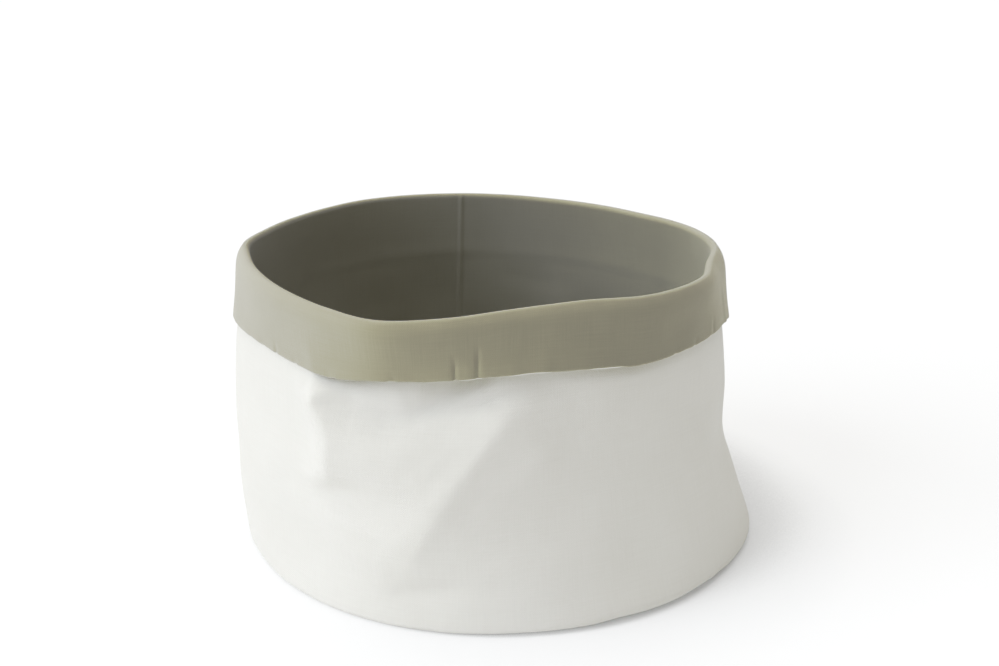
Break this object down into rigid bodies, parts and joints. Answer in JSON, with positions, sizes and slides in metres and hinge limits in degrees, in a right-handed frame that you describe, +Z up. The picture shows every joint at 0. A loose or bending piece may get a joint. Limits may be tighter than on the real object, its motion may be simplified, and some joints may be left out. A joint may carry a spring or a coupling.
{
  "type": "linen bread bag",
  "caption": "Round standing canvas bag, open at the top, with a sage lining that is folded out over the rim as a cuff, for holding and serving bread.",
  "frame": {"origin": "middle of the overall plan box, on the surface that the base rests on", "axes": "+Z up through the mouth; -Y is the side that faces the picture's camera; +X is that view's right"},
  "size_m": [0.4482, 0.4406, 0.2531],
  "materials": {
    "canvas": "matt off-white plain weave",
    "lining": "matt grey-green plain weave"
  },
  "bodies": {
    "root": {"canvas_wall": "canvas", "canvas_base": "canvas", "lining_wall": "lining", "lining_base": "lining"}
  },
  "joints": []
}
